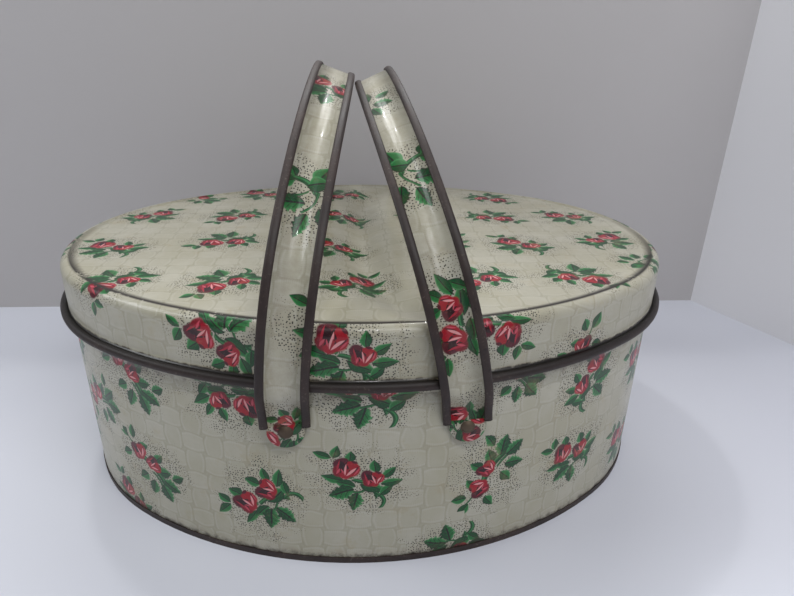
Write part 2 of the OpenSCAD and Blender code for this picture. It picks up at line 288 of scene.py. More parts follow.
# Each motif's rows are (kind, x, y, turn in degrees, length or radius, half width, teeth).
TWIN_ROSES = [
    ("stem", -3, 0, 316, 15, 5), ("stem", 7.5, -8, 284, 9, 5), ("stem", 3, -6, 176, 9, 2.4),
    ("stem", -3, 1, 150, 9, 3), ("leaf", -12, 12, 160, 8.5, 1.7, 0.0), ("leaf", -11.5, 12, 74, 7.0, 1.9, 0.0),
    ("leaf", -4, 9, 86, 6.5, 2.3, 0.0), ("leaf", -7, -0.5, 170, 10.5, 1.8, 0.0),
    ("leaf", -1.5, -4, 162, 9.5, 2.2, 0.12), ("leaf", -2, -5.5, 198, 12.5, 3.5, 0.28),
    ("leaf", -0.5, -7, 254, 11.0, 3.3, 0.28), ("leaf", 0, -2.5, 340, 12.0, 2.6, 0.0),
    ("leaf", 9, -9, 40, 8.0, 1.9, 0.0), ("leaf", 9.5, -3, 12, 10.5, 1.9, 0.0),
    ("leaf", 10, 1, 42, 8.0, 1.8, 0.0), ("leaf", 7.5, 4, 96, 7.0, 1.9, 0.0),
    ("rose", 6.0, 0.6, 6, 5.7), ("rose", -6.0, 6.0, -14, 6.9),
]
LONG_SPRIG = [
    ("stem", -7, 5, 312, 27, 7), ("stem", 2, -4, 296, 13, 3), ("stem", -9, 9, 130, 9, 2),
    ("stem", 2, 0, 350, 8, 3), ("leaf", -14, 12, 132, 9.0, 2.3, 0.0), ("leaf", -10, 13, 84, 7.5, 2.0, 0.0),
    ("leaf", -6, 9, 22, 7.0, 1.9, 0.0), ("leaf", -13, 4, 208, 7.5, 2.1, 0.0),
    ("leaf", 4, 3, 48, 8.0, 2.2, 0.0), ("leaf", 5.5, -2, 8, 9.0, 2.7, 0.2),
    ("leaf", 8, -6, 338, 11.5, 3.5, 0.26), ("leaf", 7, -9, 296, 11.0, 3.5, 0.26),
    ("leaf", 2, -8, 256, 10.0, 3.1, 0.24), ("leaf", -2, -6, 214, 8.0, 2.3, 0.0),
    ("leaf", 15, -4, 30, 8.0, 2.2, 0.2), ("rose", 3.0, 1.5, -50, 5.4), ("rose", -7.0, 6.5, 24, 6.0),
]
LEAF_SPRAY = [
    ("stem", -12.5, 7, 336, 17, 5), ("stem", 3, 2, 238, 12, 2.4), ("stem", 1, 1, 62, 9, 2.2),
    ("stem", -1, 2, 196, 9, 2), ("leaf", -2, -3.5, 186, 13.0, 3.9, 0.28),
    ("leaf", -1, -8, 250, 11.0, 3.3, 0.28), ("leaf", 0.5, 5, 66, 11.5, 3.3, 0.0),
    ("leaf", -7.5, 6.5, 200, 6.5, 2.0, 0.0), ("leaf", -2.5, 4.5, 18, 9.0, 3.0, 0.0),
    ("leaf", -8, 8, 118, 6.0, 1.7, 0.0), ("leaf", 5, -1, 342, 11.0, 3.4, 0.26),
    ("leaf", 4, -5, 292, 10.0, 3.0, 0.24), ("leaf", 8, 4, 30, 8.5, 2.3, 0.0),
]

# What draws each kind, and the factors on its length and half width.
SHAPES = {
    "leaf": (leaf_group(), 1.04, 1.22),
    "stem": (stem_group(), 1.0, 2.2),
    "rose": (rose_group(), 1.0, 1.0),
}


def draw(net, tone, at, rows):
    for kind, x, y, turn, length, *rest in rows:
        tree, longer, wider = SHAPES[kind]
        width = rest[0] if rest else length
        place = net.place(at, x, y, turn, length * longer, width * wider)
        tone = net.add("ShaderNodeGroup", [place, tone, *rest[1:]], node_tree=tree).outputs[0]
    return tone


# ---- Materials ----

WEAVE_PER_MM, DOTS_PER_MM = 0.104, 0.88
HALO = (1 / 26, 1 / 20, 0)    # one over how far the dots reach along and across a sprig
CREAM, CREAM_OLD = srgb(177, 174, 159), srgb(168, 164, 145)
CREAM_MOTTLED, CREAM_RUBBED = srgb(156, 152, 131), srgb(174, 170, 153)
DOT_BLACK, PAINTED_SHADE, RUST_BLACK = srgb(26, 24, 21), srgb(26, 20, 16), srgb(34, 27, 22)
BROWN_STAIN, GRIME = srgb(158, 140, 100), srgb(104, 84, 62)


def weave(net, tone, ground, wander):
    """A faint basket weave: blocks that lie across and along by turns, with bowed outlines and fine ribs."""
    bent = net.vec("MULTIPLY_ADD", wander, (2.6, 2.6, 0), ground)
    cells = net.vec("MULTIPLY", bent, (WEAVE_PER_MM, WEAVE_PER_MM, 0))
    x, y, _ = net.split(net.vec("SUBTRACT", net.vec("FRACTION", cells), (0.5, 0.5, 0)))
    column, row, _ = net.split(net.vec("FLOOR", cells))
    upright = net.math("PINGPONG", net.plus(column, row), 1.0)
    run = net.line(net.minus(y, x), upright, x)
    off = net.size(net.line(net.minus(x, y), upright, y))
    gap = net.minus(off, net.line(net.times(run, run), -0.40, 0.492))
    strand = net.ramp(net.size(gap), 0.085, 0.0)
    shine = net.ramp(net.size(net.plus(gap, 0.10)), 0.07, 0.01)
    hollow = net.ramp(gap, -0.02, 0.03)
    rib = net.ramp(net.math("PINGPONG", net.times(run, 13.0), 0.5), 0.36, 0.46)
    rib = net.times(rib, net.ramp(off, 0.16, 0.34))
    for amount, weight, colour in (
            (upright, 0.14, srgb(150, 146, 124)), (hollow, 0.22, srgb(150, 146, 122)),
            (rib, 0.26, srgb(136, 132, 108)), (shine, 0.22, srgb(196, 193, 180)),
            (strand, 0.21, srgb(122, 118, 98))):
        tone = net.mix(net.times(amount, weight), tone, colour)
    return tone


def printed_tin(name, rows):
    """The print, from attributes: ground (mm on the sheet), sprig (its own mm, motif), wear_and_shade (chips,
    then dirt together with painted shade).
    """
    mat, net = new_material(name)
    ground, sprig = net.attribute("ground"), net.attribute("sprig")
    chips, dirt_and_shade, _ = net.split(net.attribute("wear_and_shade"))

    def noise(scale, detail=1.0, rough=0.5, out=0):
        return net.noise(ground, scale, detail, rough, "2D", out)

    mottle = noise(0.35, 4.0, 0.65)
    tone = net.mix(net.ramp(noise(0.03, 3.0, 0.6), 0.35, 0.65), CREAM, CREAM_OLD)
    tone = net.mix(net.times(net.ramp(mottle, 0.45, 0.7), 0.14), tone, CREAM_MOTTLED)
    tone = weave(net, tone, ground, noise(0.07, 2.0, out=1))

    # The sprigs, drawn a little unevenly, each in a halo of black dots.
    drift = net.vec("SUBTRACT", noise(0.09, out=1), (0.5, 0.5, 0.5))
    at = net.vec("ADD", net.vec("MULTIPLY", sprig, (1, 1, 0)), net.vec("MULTIPLY", drift, (2.4, 2.4, 0)))
    halo = net.vec("LENGTH", net.vec("MULTIPLY", at, HALO), out=1)
    halo = net.plus(halo, net.line(noise(0.16), 0.9, -0.45))
    halo = net.times(net.ramp(halo, 1.15, 0.75), net.ramp(net.split(sprig)[2], 5.0, 4.0))
    dots = net.add("ShaderNodeTexVoronoi", {"Vector": ground, "Scale": DOTS_PER_MM, "Randomness": 0.78},
                   voronoi_dimensions="2D", feature="F1").outputs["Distance"]
    tone = net.mix(net.times(net.minus(net.times(halo, 0.27), dots), 11.0, clamp=True), tone, DOT_BLACK)
    tone = draw(net, tone, at, rows)

    # Age: rubbed ink, brown stain, black specks along the pressed crease; brown grime and near-black painted
    # shade where the dirt-and-shade value gathers.
    fine = noise(1.6, 3.0, 0.7)
    tone = net.mix(net.times(net.ramp(fine, 0.60, 0.72), 0.12), tone, CREAM_RUBBED)
    tone = net.mix(net.times(net.ramp(noise(0.07, 4.0, 0.7), 0.58, 0.78), 0.30), tone, BROWN_STAIN)
    grime_and_shade = net.times(dirt_and_shade, net.ramp(noise(0.22, 4.0, 0.7), 0.38, 0.66))
    tone = net.mix(net.times(grime_and_shade, 0.55, clamp=True), tone, GRIME)
    # Painted shade: near black where the dirt-and-shade value is highest, along the skirt's foot by the bead,
    # under the lid's bead and at the wall's foot.
    tone = net.mix(net.ramp(net.line(grime_and_shade, 0.5, dirt_and_shade), 0.6, 1.3), tone, PAINTED_SHADE)
    chip = net.plus(noise(0.45, 4.0, 0.75), net.line(noise(0.04), 0.8, -0.4))
    chip = net.times(chips, net.ramp(chip, 0.24, 0.34), clamp=True)
    tone = net.mix(chip, tone, RUST_BLACK)

    height = net.line(fine, 0.012, noise(0.018, 2.0, 0.45))
    gloss = net.plus(net.line(mottle, 0.16, 0.28), net.times(chip, 0.3))
    net.surface({"Base Color": tone, "Roughness": gloss, "Specular IOR Level": 0.32, "Coat Weight": 0.2,
                 "Coat Roughness": 0.05, "Normal": net.bump(height, 0.35, 0.0035)})
    return mat


def brown_enamel():
    """Dark brown enamel, rubbed and pitted; blacker where the "wear_and_shade" attribute's second value says:
    painted shade, with some soot, over the top of the lid's bead.
    """
    mat, net = new_material("brown_enamel")
    where = net.object_place()
    cloud, grain = net.noise(where, 60, 3.0, 0.6), net.noise(where, 900, 3.0, 0.7)
    tone = net.mix(net.ramp(cloud, 0.35, 0.7), srgb(38, 29, 27), srgb(60, 47, 43))
    rub = net.times(net.ramp(grain, 0.58, 0.74), net.ramp(cloud, 0.45, 0.62))
    tone = net.mix(net.times(rub, 0.5), tone, srgb(142, 130, 118))
    pits = net.ramp(net.noise(where, 380, 2.0, 0.6), 0.66, 0.74)
    tone = net.mix(net.times(pits, 0.6), tone, srgb(28, 22, 22))
    soot_and_shade = net.split(net.attribute("wear_and_shade"))[1]
    # Painted shade, with some soot: near black over the bead's upper half, darkest next to the skirt.
    tone = net.mix(net.times(soot_and_shade, 1.3, clamp=True), tone, srgb(17, 12, 10))
    net.surface({"Base Color": tone, "Roughness": net.line(cloud, 0.22, 0.42), "Specular IOR Level": 0.38,
                 "Normal": net.bump(grain, 0.25, 0.0004)})
    return mat


def bare_tin(name, colour, rough):
    """Metal with a cloudy spangle and small rust spots."""
    mat, net = new_material(name)
    where = net.object_place()
    spangle, spots = net.noise(where, 45, 4.0, 0.6), net.noise(where, 260, 3.0, 0.7)
    tone = net.mix(net.ramp(spangle, 0.3, 0.7), colour, tuple(c * 0.72 for c in colour))
    rust = net.times(net.ramp(spots, 0.64, 0.76), 0.7)
    tone = net.mix(rust, tone, srgb(96, 66, 44))
    net.surface({"Base Color": tone, "Metallic": net.minus(0.95, rust),
                 "Roughness": net.line(spangle, 0.25, rough), "Normal": net.bump(spots, 0.2, 0.0003)})
    return mat


SHELL_MATERIALS = [
    printed_tin("printed_tin", TWIN_ROSES), brown_enamel(),
    bare_tin("lacquered_tin", srgb(188, 176, 140), 0.26),
    printed_tin("printed_tin_long", LONG_SPRIG), printed_tin("printed_tin_spray", LEAF_SPRAY),
]
PRINTED, ENAMELLED, INNER, PRINTED_LONG, PRINTED_SPRAY = range(5)
RIVET_STEEL = bare_tin("rivet_steel", srgb(110, 97, 84), 0.5)
MOTIF_MATERIAL = {1: PRINTED_LONG, 2: PRINTED_SPRAY}    # motif 0 is the twin roses, in PRINTED


# ---- The oval plan: four arcs that meet on 3-4-5 lines ----

HALF_LEN, HALF_DEPTH = 145.0, 114.0
OVAL_UNIT = (HALF_LEN - HALF_DEPTH) / 2
END_C, SIDE_C = 3 * OVAL_UNIT, 4 * OVAL_UNIT
END_R, SIDE_R = HALF_LEN - END_C, HALF_DEPTH + SIDE_C
MEET = math.degrees(math.atan2(4, 3))
STATION_STEP = 2.4


def oval_stations():
    """Rows of an arc's middle x and y, its radius, a direction's cosine and sine, and the run so far."""
    arcs = [(-90, -MEET, (0, SIDE_C), SIDE_R), (-MEET, MEET, (END_C, 0), END_R),
            (MEET, 180 - MEET, (0, -SIDE_C), SIDE_R), (180 - MEET, 180 + MEET, (-END_C, 0), END_R),
            (180 + MEET, 270, (0, SIDE_C), SIDE_R)]
    rows, run = [], 0.0
    for low, high, middle, radius in arcs:
        length = math.radians(high - low) * radius
        count = max(1, round(length / STATION_STEP))
        for k in range(count):
            a = math.radians(low + (high - low) * k / count)
            rows.append((*middle, radius, math.cos(a), math.sin(a), run + length * k / count))
        run += length
    return np.array(rows), run


STATIONS, GIRTH = oval_stations()
COUNT = len(STATIONS)
HERE, NEXT = np.arange(COUNT), (np.arange(COUNT) + 1) % COUNT
RUN, RUN_NEXT = STATIONS[:, 5], np.append(STATIONS[1:, 5], GIRTH)


def oval_at(offset):
    """The oval's stations, moved outwards by the offset."""
    r = STATIONS[:, 2] + offset
    return np.stack([STATIONS[:, 0] + r * STATIONS[:, 3], STATIONS[:, 1] + r * STATIONS[:, 4]], 1)


def side_y(x, offset=0.0):
    """How far the oval's long side is from the middle line at x."""
    return math.sqrt((SIDE_R + offset) ** 2 - x * x) - SIDE_C


def arc(cx, cz, r, start, stop, count, skip=0):
    """Points on an arc from start to stop degrees, without the first few if skip says so."""
    angles = [math.radians(start + (stop - start) * k / count) for k in range(skip, count + 1)]
    return [(cx + r * math.cos(a), cz + r * math.sin(a)) for a in angles]


def rows_between(a, b, step):
    """Points from a to b, about a step apart."""
    n = max(1, round(math.dist(a, b) / step))
    return [(a[0] + (b[0] - a[0]) * k / n, a[1] + (b[1] - a[1]) * k / n) for k in range(n + 1)]


# ---- Shells: faces with the print's coordinates at each corner ----

# Sprigs in the tables are (x, y, turn in degrees, size, flip, motif).
SPRIG_SIZE, SPRIG_REACH, STRAP_SPRIG_REACH = 0.86, 30, 32
NO_SPRIG = np.array([99.0, 99.0, 9.0])
# Where each surface starts on the ground pattern, so that no two show the same part of it.
SKIRT_GROUND, WALL_GROUND, STRAP_GROUND, STRAP_GROUND_STEP, BOSS_GROUND = 500, 1500, 2500, 900, 40.0


class Skin:
    """The faces of one shell, and three layers of values at their corners."""

    def __init__(self):
        self.faces, self.materials = [], []
        self.layers = {"ground": [], "sprig": [], "wear_and_shade": []}

    def add(self, faces, kind, **layers):
        """Adds faces with equal numbers of corners. A layer that isn't given is blank."""
        faces = np.asarray(faces)
        self.faces += faces.tolist()
        self.materials += [kind] * len(faces)
        for key, held in self.layers.items():
            if key in layers:
                held.append(np.broadcast_to(layers[key], (*faces.shape, 3)).reshape(-1, 3))
            else:
                held.append(np.broadcast_to(NO_SPRIG if key == "sprig" else np.zeros(3), (faces.size, 3)))


def build(name, body, verts, skin, stands_for):
    mesh = bpy.data.meshes.new(name)
    mesh.from_pydata([tuple(v) for v in np.asarray(verts) * MM], [], skin.faces)
    for mat in SHELL_MATERIALS:
        mesh.materials.append(mat)
    layers = {key: np.concatenate(held) for key, held in skin.layers.items()}
    first_corner = np.cumsum([0] + [len(f) for f in skin.faces[:-1]])
    materials = np.array(skin.materials)
    for motif, held in MOTIF_MATERIAL.items():
        materials = np.where(np.isclose(layers["sprig"][first_corner, 2], motif), held, materials)
    mesh.polygons.foreach_set("material_index", materials)
    mesh.polygons.foreach_set("use_smooth", [True] * len(skin.faces))
    for key, data in layers.items():
        layer = mesh.attributes.new(key, "FLOAT_VECTOR", "CORNER")
        layer.data.foreach_set("vector", data.astype(np.float32).ravel())
    mesh.validate()
    mesh.update()
    ob = link_new(name, mesh)
    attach(ob, body)
    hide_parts(*stands_for)


def with_zero(flat):
    return np.concatenate([flat, np.zeros((*flat.shape[:-1], 1))], -1)


def side_corners(*corners):
    """Corners on the unrolled side, each given by a run round the oval and a height."""
    return np.stack([np.column_stack([run, np.full(COUNT, z)]) for run, z in corners], 1)


def own_mm(points, centre, row):
    """Points in a sprig's own mm, with its motif third."""
    turn = math.radians(row[2])
    d = (points - centre) / SPRIG_SIZE
    u = (d[..., 0] * math.cos(turn) + d[..., 1] * math.sin(turn)) / row[3]
    v = (-d[..., 0] * math.sin(turn) + d[..., 1] * math.cos(turn)) / row[3]
    return np.stack([u * row[4], v, np.full_like(u, row[5])], -1)


def nearest_sprig(corners, rows, wrap=None, reach=SPRIG_REACH):
    """For faces given by corners on the flat sheet: their place in the nearest sprig, and its distance."""
    middle = corners.mean(1)
    centres = np.array([r[:2] for r in rows], dtype=float)
    gap = middle[:, None, :] - centres[None]
    if wrap:
        gap[..., 0] = (gap[..., 0] + wrap / 2) % wrap - wrap / 2
    away = np.hypot(gap[..., 0], gap[..., 1])
    best = away.argmin(1)
    result = np.zeros((*corners.shape[:2], 3))
    for k, row in enumerate(rows):
        mine = best == k
        if mine.any():
            result[mine] = own_mm(corners[mine], (middle[mine] - gap[mine, k])[:, None, :], row)
    away = away[np.arange(len(best)), best]
    result[away > reach] = NO_SPRIG
    return result, away


# ---- Lid ----

LID_TOP, SHOULDER_R, SHOULDER, PANEL, PANEL_TOP = 108.2, 4.2, -3.2, -4.0, 107.6
SKIRT, SHEET, BEAD_Z, BEAD_R, BEAD = 1.0, 0.4, 85.5, 1.9, 2.5
SHOULDER_Z, SKIRT_FOOT = LID_TOP - SHOULDER_R, 86.76
PANEL_RINGS, UNDER_RINGS, INNERMOST = 46, 25, 0.03
CREASE_Z, CREASE_REACH, CREASE_END = 86.7, 2.2, 90
DENT_DEPTH, DENT_HALF_WIDTH = 4.4, 9.5

TOP_SPRIGS = [
    (-121, -24, 4, 1.0, 1, 0), (-119, 32, 12, 1.0, -1, 0), (-103, 74, 0, 0.9, 1, 1),
    (-73, 32, 186, 1.0, -1, 0), (-66, 84, 0, 1.0, 1, 0), (-70, -14, 165, 1.0, -1, 0),
    (-104, -67, 200, 1.0, -1, 0), (-60, -69, 190, 1.0, -1, 0), (-14, 33, 8, 1.0, 1, 0),
    (-14, 83, 186, 1.0, -1, 0), (-18, -24, 0, 1.0, 1, 0), (-8, -70, 20, 1.0, -1, 0),
    (44, -68, 178, 1.0, -1, 0), (36, -20, 10, 1.0, -1, 0), (32, 30, 176, 1.0, 1, 0),
    (72, 28, 190, 1.0, 1, 0), (80, 73, 180, 1.0, 1, 0), (74, -24, -12, 1.0, 1, 0),
    (115, 27, 4, 1.0, 1, 0), (120, -17, 8, 1.0, -1, 0), (88, -67, 184, 1.0, 1, 0),
    (36, 84, 12, 1.0, 1, 0), (124, -50, 150, 0.8, 1, 2),
]
# On the skirt and the wall, x is the run round the oval from the middle of the front and y is the height.
SKIRT_SPRIGS = [
    (-56, 100, 125, 1.08, -1, 0), (-11, 98, -6, 1.08, 1, 0), (42, 106, 184, 1.0, 1, 0),
    (80, 83, 14, 0.95, -1, 1), (178, 98, -12, 1.0, 1, 0), (228, 101, 10, 1.0, 1, 0),
    (279, 97, 190, 1.0, -1, 0), (330, 100, 0, 1.0, 1, 0), (381, 98, 14, 1.0, -1, 0),
    (432, 101, -12, 1.0, 1, 0), (483, 98, 170, 1.0, 1, 0), (534, 100, 6, 1.0, 1, 0),
    (585, 97, -14, 1.0, -1, 0), (636, 101, 12, 1.0, 1, 0),
]


def dent(xy):
    """How far the old lid is pushed in between the handles: a valley that bends at its ends and fades out."""
    x, y = xy[:, 0], xy[:, 1]
    reach = np.hypot(x / HALF_LEN, y / HALF_DEPTH)
    middle = -3 + 20 * (np.abs(y) / 105) ** 4
    valley = np.exp(-((x - middle) / (DENT_HALF_WIDTH - 3 * np.abs(y) / 105)) ** 2)
    return DENT_DEPTH * valley * np.clip(1.15 - (y / 125) ** 2, 0, 1) * np.clip(1 - reach ** 9, 0, 1)


def lid_rings(edge):
    """From the middle of the panel over the shoulder, down the skirt, round the bead and back under.

    Each ring is (points, flat coordinates, height on the unrolled skirt, material, (chips, dirt and painted
    shade)).
    """
    rings = []
    for k in range(PANEL_RINGS + 1):
        t = INNERMOST + (1 - INNERMOST) * k / PANEL_RINGS
        flat = edge * t
        near_edge = max(0.0, 1 - (1 - t) * HALF_DEPTH / 2.2)
        points = np.column_stack([flat, PANEL_TOP - dent(flat)])
        rings.append((points, flat, None, PRINTED, (near_edge * 0.8, near_edge * 0.2)))
    outer = [(SHOULDER, LID_TOP)] + arc(SHOULDER, SHOULDER_Z, SHOULDER_R, 90, 0, 12, 1)
    outer += rows_between((SKIRT, SHOULDER_Z), (SKIRT, SKIRT_FOOT), STATION_STEP)[1:]
    bead = arc(BEAD, BEAD_Z, BEAD_R, 145, -180, 26, 1)
    inner = rows_between((SKIRT - SHEET, BEAD_Z), (SKIRT - SHEET, SHOULDER_Z), 6)[1:]
    inner += arc(SHOULDER, SHOULDER_Z, SHOULDER_R - SHEET, 0, 90, 8, 1) + [(PANEL, PANEL_TOP - SHEET)]
    run, last = 0.0, (PANEL, PANEL_TOP)
    for kind, course in ((PRINTED, outer), (ENAMELLED, bead), (INNER, inner)):
        for k, (d, z) in enumerate(course):
            run += math.dist(last, (d, z))
            last = (d, z)
            height, wear_and_shade = None, (0.0, 0.0)
            if kind == PRINTED:
                height = z if z < SHOULDER_Z else SHOULDER_Z + max(0.0, SHOULDER_R * math.pi / 2 + 1 - run)
                # Painted shade: the skirt's foot next to the bead gets a dirt-and-shade value up to 1.6, which
                # paints it near black; higher up, a little grime.
                dirt_and_shade = 1.6 * max(0.0, 1 - (z - CREASE_Z) / CREASE_REACH) if z < CREASE_END else 0.12
                wear_and_shade = (0.9 * max(0.0, 1 - abs(run - 1.0) / 0.9), dirt_and_shade)
            elif kind == ENAMELLED:
                # Painted shade over the bead's upper half, darkest where it meets the skirt.
                wear_and_shade = (0.0, max(0.0, 1 - k / 12))
            points = np.column_stack([oval_at(d), np.full(COUNT, z)])
            rings.append((points, edge + STATIONS[:, 3:5] * run, height, kind, wear_and_shade))
    for k in range(1, UNDER_RINGS):
        under = edge * max(1 - k / UNDER_RINGS, INNERMOST)
        points = np.column_stack([under, PANEL_TOP - SHEET - dent(under)])
        rings.append((points, edge, None, INNER, (0.0, 0.0)))
    return rings


def lid():
    edge = oval_at(PANEL)
    rings = lid_rings(edge)
    fade = np.ones((COUNT, 1, 3))
    fade[:, 0, 0] = np.clip(0.5 - edge[:, 1] / 80, 0.15, 1.8)    # fewer chips at the rear
    skin = Skin()
    skin.add([HERE], PRINTED, ground=with_zero(rings[0][1]))
    for k in range(len(rings) - 1):
        (_, flat_a, high_a, _, wear_and_shade_a), (_, flat_b, high_b, kind, wear_and_shade_b) = rings[k:k + 2]
        a, b = k * COUNT, (k + 1) * COUNT
        layers = {"wear_and_shade": np.array([[*wear_and_shade, 0] for wear_and_shade in (wear_and_shade_a, wear_and_shade_b, wear_and_shade_b, wear_and_shade_a)]) * fade}
        if kind == PRINTED:
            top = np.stack([flat_a[HERE], flat_b[HERE], flat_b[NEXT], flat_a[NEXT]], 1)
            marks, away = nearest_sprig(top, TOP_SPRIGS)
            layers["ground"] = with_zero(top)
            if high_a is not None:
                side = side_corners((RUN, high_a), (RUN, high_b), (RUN_NEXT, high_b), (RUN_NEXT, high_a))
                side_marks, side_away = nearest_sprig(side, SKIRT_SPRIGS, GIRTH)
                nearer = side_away < away
                marks[nearer] = side_marks[nearer]
                if high_b < SHOULDER_Z:
                    layers["ground"] = with_zero(side + SKIRT_GROUND)
            layers["sprig"] = marks
        skin.add(np.stack([a + HERE, b + HERE, b + NEXT, a + NEXT], 1), kind, **layers)
    skin.add([(len(rings) - 1) * COUNT + HERE[::-1]], INNER)
    build("lid_shell", "lid", np.concatenate([ring[0] for ring in rings]), skin, ["lid"])


lid()


# ---- Body wall ----

STOP_Z, STOP_R, WALL_FOOT, WALL_TOP, ROLL_R, ROLL_END = 82.772, 1.5, 0.6, 95.0, 1.5, 92.2
PIVOT_X, PIVOT_Z, STRAP_W = 33.8, 65.5, 18.7
CLEARANCE = 0.3
STRAP_LOW = side_y(PIVOT_X - STRAP_W / 2) + CLEARANCE
BOSS_FACE, BOSS_POINTS = STRAP_LOW - 0.15, 32
BOSS_RINGS = ((4.4, 0.0), (4.9, 0.12), (5.0, 0.5), (5.1, 3.4))    # radius, and depth behind its face
# Across, and outwards from the wall's outside.
SEAM = ((-4, -0.35), (-3.7, -0.8), (-0.3, -0.82), (0, -0.6), (0.3, -0.82), (3.7, -0.8), (4, -0.35))

WALL_SPRIGS = [
    (-104, 75, -6, 1.0, 1, 1), (-101, 31, 0, 1.0, 1, 1), (-55, 76, 200, 1.0, 1, 0), (-46, 30, 66, 1.05, 1, 0),
    (-4, 82.5, 0, 1.1, 1, 0), (-7, 43, 0, 1.0, 1, 0), (46, 39, 100, 1.0, 1, 1), (90, 33, 14, 1.0, 1, 0),
    (94, 71, 30, 1.0, -1, 0), (31, 1, 180, 1.0, -1, 0), (52, 84, 10, 0.9, 1, 1),
    (-134, 52, 60, 1.0, 1, 1), (136, 20, 10, 1.0, 1, 0),
    (140, 64, 20, 1.0, 1, 0), (188, 72, 0, 1.0, -1, 0), (186, 30, 200, 1.0, 1, 0),
    (236, 58, -12, 1.0, 1, 1), (234, 16, 8, 1.0, 1, 0), (284, 74, 15, 1.0, 1, 0), (282, 32, -20, 1.0, -1, 0),
    (332, 60, 90, 1.0, 1, 1), (330, 20, 0, 1.0, 1, 0), (380, 76, -10, 1.0, -1, 0), (378, 34, 170, 1.0, 1, 0),
    (428, 58, 10, 1.0, 1, 0), (426, 16, -14, 1.0, 1, 1), (476, 74, 0, 1.0, 1, 0), (474, 32, 20, 1.0, -1, 0),
    (524, 60, -90, 1.0, 1, 1), (522, 18, 10, 1.0, 1, 0), (572, 76, 12, 1.0, -1, 0), (570, 34, -12, 1.0, 1, 0),
    (620, 60, 180, 1.0, 1, 0), (618, 16, 6, 1.0, 1, 1), (662, 76, 0, 1.0, 1, 0), (658, 30, 14, 1.0, -1, 0),
    (700, 4, -12, 0.9, 1, 0),
]


def wall_dirt_and_shade(z):
    """How much painted shade, with grime, there is: above the bottom seam and under the lid's bead."""
    return max(0.0, 1 - (z - 2.8) / 5) * 0.9 + max(0.0, 1 - abs(80.5 - z) / 4) * 0.8


def add_boss(skin, start, sx, sy):
    """One pressed boss where a handle turns; returns its points."""
    points = [(sx * PIVOT_X, sy * BOSS_FACE, PIVOT_Z)]
    for r, depth in BOSS_RINGS:
        for a in 2 * math.pi * np.arange(BOSS_POINTS) / BOSS_POINTS:
            x, z = sx * PIVOT_X + r * math.cos(a), PIVOT_Z + r * math.sin(a)
            points.append((x, sy * (BOSS_FACE - depth), z))
    for q in range(BOSS_POINTS):
        w = (q + 1) % BOSS_POINTS
        faces = [[start, start + 1 + q, start + 1 + w]]
        for m in range(len(BOSS_RINGS) - 1):
            a, b = start + 1 + m * BOSS_POINTS, start + 1 + (m + 1) * BOSS_POINTS
            faces.append([a + q, b + q, b + w, a + w])
        for face in faces:
            skin.add([face if sy < 0 else face[::-1]], PRINTED, ground=BOSS_GROUND)
    return points


def body_wall():
    outer = rows_between((0, WALL_FOOT), (0, STOP_Z - STOP_R), STATION_STEP)
    outer += arc(0, STOP_Z, STOP_R, -90, 90, 12, 1)
    outer += rows_between((0, STOP_Z + STOP_R), (0, WALL_TOP - ROLL_R), 3)[1:]
    inner = arc(-ROLL_R, WALL_TOP - ROLL_R, ROLL_R, 0, 250, 18, 1)
    inner += rows_between((-SHEET, ROLL_END), (-SHEET, STOP_Z + STOP_R), 4)
    inner += arc(0, STOP_Z, STOP_R - SHEET, 68, -68, 8)
    inner += rows_between((-SHEET, STOP_Z - STOP_R), (-SHEET, WALL_FOOT), 6)
    outline = outer + inner
    parts = [np.column_stack([oval_at(d), np.full(COUNT, z)]) for d, z in outline]
    skin = Skin()
    for k, (_, low) in enumerate(outline):
        above = (k + 1) % len(outline)
        high = outline[above][1]
        a, b = k * COUNT, above * COUNT
        kind, layers = INNER, {}
        if k + 1 < len(outer):
            side = side_corners((RUN, low), (RUN_NEXT, low), (RUN_NEXT, high), (RUN, high))
            marks, _ = nearest_sprig(side, WALL_SPRIGS, GIRTH)
            # Painted shade, with grime: under the lid's bead and above the bottom seam.
            dirt_and_shade = np.array([[0, wall_dirt_and_shade(z), 0] for z in (low, low, high, high)])
            kind, layers = PRINTED, {"ground": with_zero(side + WALL_GROUND), "sprig": marks, "wear_and_shade": dirt_and_shade}
        skin.add(np.stack([a + HERE, a + NEXT, b + NEXT, b + HERE], 1), kind, **layers)
    start = len(outline) * COUNT
    for sx in (-1, 1):
        for sy in (-1, 1):
            parts.append(add_boss(skin, start, sx, sy))
            start += len(parts[-1])
    # The hooked seam, inside the back.
    levels = [z for _, z in rows_between((0, 3.2), (0, STOP_Z - STOP_R - SHEET), 8)]
    parts.append([(x, side_y(x, d), z) for z in levels for x, d in SEAM])
    for k in range(len(levels) - 1):
        for a in range(start + k * len(SEAM), start + (k + 1) * len(SEAM) - 1):
            skin.add([[a, a + 1, a + 1 + len(SEAM), a + len(SEAM)]], INNER)
    build("body_shell", "box", np.concatenate(parts), skin, ["body_wall"])


body_wall()


# ---- Handles ----

HEM_W, HEM_T, STRAP_T = 3.2, 1.7, 0.6
ARCH_RISE, LEG, CORNER_R, CROWN_LEAN, LEAN_GROWTH, TWIST, TIP = 119.0, 34.0, 58.0, 22.0, 1.58, 2.5, 3.1
TAB_R, TAB_NECK, TAB_LAP, HEM_START = 7.0, 6.9, 3.3, 2.2
TAB_LEVELS = ((0.0, 0.0), (STRAP_T - 0.12, 0.0), (STRAP_T + 0.02, 0.14))    # height, and inset of the edge
STRAP_HIGH = side_y(PIVOT_X - STRAP_W / 2 - 4.5) + STRAP_T + 2 * BEAD_R + CLEARANCE
STEP_START, STEP_END = 4.6, BEAD_Z - PIVOT_Z - BEAD_R + 1.7
HEM_A, HEM_B = HEM_W / 2, HEM_T / 2
HEM_IN = STRAP_W / 2 - HEM_A
HEM_POINTS = 20
CROWN_IN = PIVOT_X - HEM_IN * math.cos(math.radians(CROWN_LEAN)) - HEM_A - 0.15

